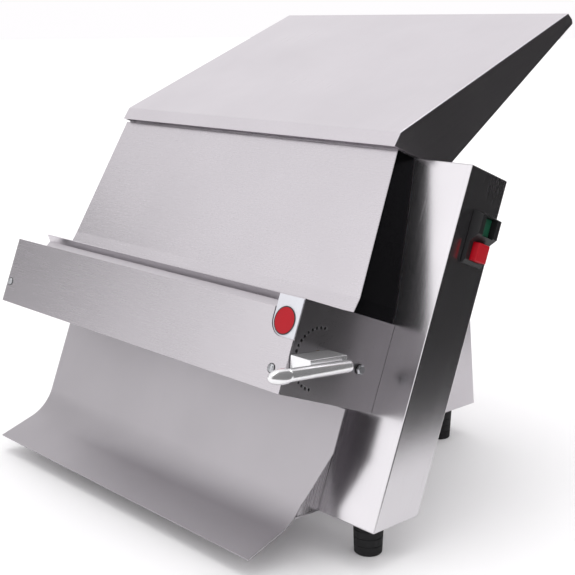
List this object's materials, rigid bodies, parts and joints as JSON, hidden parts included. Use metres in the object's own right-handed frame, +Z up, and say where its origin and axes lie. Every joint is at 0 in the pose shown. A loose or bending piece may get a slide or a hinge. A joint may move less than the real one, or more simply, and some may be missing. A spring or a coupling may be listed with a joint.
{
  "type": "dough sheeter",
  "caption": "Countertop dough sheeter: powered rollers under a sloping shelf and slide, with a gap-setting lever, drive housing and curved outfeed tray.",
  "frame": {"origin": "middle of the whole machine on the surface that it stands on", "axes": "+X to the operator's right, towards the drive housing; +Y away from the operator; +Z up"},
  "size_m": [0.5354, 0.5098, 0.5126],
  "materials": {
    "brushed_stainless": "brushed stainless sheet",
    "polished_stainless": "polished stainless",
    "zinc_steel": "zinc-plated steel",
    "bronze": "sintered bronze",
    "black_plastic": "moulded black plastic",
    "black_rubber": "moulded rubber",
    "red_plastic": "moulded red plastic",
    "green_plastic": "moulded green plastic",
    "white_label": "plain white film",
    "grey_paint": "grey paint"
  },
  "bodies": {
    "root": {"back_panel": "brushed_stainless", "base_plate": "brushed_stainless", "cable_gland": "black_plastic", "dough_shelf": "brushed_stainless", "drive_bush": "bronze", "drive_chain": "zinc_steel", "drive_end_cover": "polished_stainless", "foot_front_left": "black_rubber", "foot_front_right": "black_rubber", "foot_rear_left": "black_rubber", "foot_rear_right": "black_rubber", "front_scraper": "zinc_steel", "gearbox_bracket": "zinc_steel", "gearbox_case": "grey_paint", "guard_label": "white_label", "guard_screw_left": "zinc_steel", "guard_screw_right": "zinc_steel", "infeed_lip": "polished_stainless", "infeed_slide": "brushed_stainless", "left_frame_plate": "brushed_stainless", "lower_tie_bar": "zinc_steel", "motor_case": "grey_paint", "motor_cover": "brushed_stainless", "motor_fan_cap": "black_plastic", "nip_guide": "brushed_stainless", "outfeed_tray": "brushed_stainless", "pivot_bush_left": "bronze", "pivot_bush_right": "bronze", "rear_bush_left": "bronze", "rear_bush_right": "bronze", "rear_scraper": "zinc_steel", "red_disc": "red_plastic", "right_frame_plate": "brushed_stainless", "roller_guard": "brushed_stainless", "run_capacitor": "black_plastic", "side_housing": "polished_stainless", "switch_body": "black_plastic", "terminal_box": "black_plastic", "top_plate": "brushed_stainless", "upper_tie_bar": "zinc_steel"},
    "rear_roller": {"rear_roller": "polished_stainless", "rear_shaft": "zinc_steel", "rear_gear": "zinc_steel", "roller_sprocket": "zinc_steel", "shaft_nut": "zinc_steel"},
    "lever": {"eccentric_shaft": "zinc_steel", "lever_block": "polished_stainless", "lever_grip": "polished_stainless", "index_spring": "zinc_steel"},
    "index_pin": {"index_pin": "zinc_steel"},
    "roller_bushes": {"roller_bush_left": "bronze", "roller_bush_right": "bronze"},
    "front_roller": {"front_roller": "polished_stainless", "front_gear": "zinc_steel"},
    "drive_shaft": {"drive_shaft": "zinc_steel", "drive_sprocket": "zinc_steel"},
    "start_button": {"start_button": "green_plastic"},
    "stop_button": {"stop_button": "red_plastic"}
  },
  "joints": [
    {"name": "rear_roller_spin", "type": "hinge", "parent": "root", "child": "rear_roller", "pos_m": [0, -0.11241, 0.18696], "axis": [1, 0, 0], "continuous": true},
    {"name": "lever_turn", "type": "hinge", "parent": "root", "child": "lever", "pos_m": [0, -0.16679, 0.20784], "axis": [1, 0, 0], "range_deg": [-105.88, 74.12]},
    {"name": "bushes_hold", "type": "hinge", "parent": "lever", "child": "roller_bushes", "pos_m": [0, -0.16694, 0.20609], "axis": [1, 0, 0], "range_deg": [-74.12, 105.88]},
    {"name": "front_roller_spin", "type": "hinge", "parent": "roller_bushes", "child": "front_roller", "pos_m": [0, -0.16694, 0.20609], "axis": [1, 0, 0], "continuous": true},
    {"name": "drive_shaft_spin", "type": "hinge", "parent": "root", "child": "drive_shaft", "pos_m": [0, -0.05901, 0.14504], "axis": [1, 0, 0], "continuous": true},
    {"name": "index_pin_slide", "type": "slide", "parent": "lever", "child": "index_pin", "axis": [-1, 0, 0], "range_m": [0, 0.0016]},
    {"name": "start_button_press", "type": "slide", "parent": "root", "child": "start_button", "axis": [-1, 0, 0], "range_m": [0, 0.003], "stiffness_N_per_m": 400},
    {"name": "stop_button_press", "type": "slide", "parent": "root", "child": "stop_button", "axis": [-1, 0, 0], "range_m": [0, 0.003], "stiffness_N_per_m": 400}
  ],
  "couplings": [
    {"joint": "front_roller_spin", "follows": "rear_roller_spin", "ratio": -1},
    {"joint": "drive_shaft_spin", "follows": "rear_roller_spin", "ratio": 1.3636},
    {"joint": "bushes_hold", "follows": "lever_turn", "ratio": -1}
  ]
}
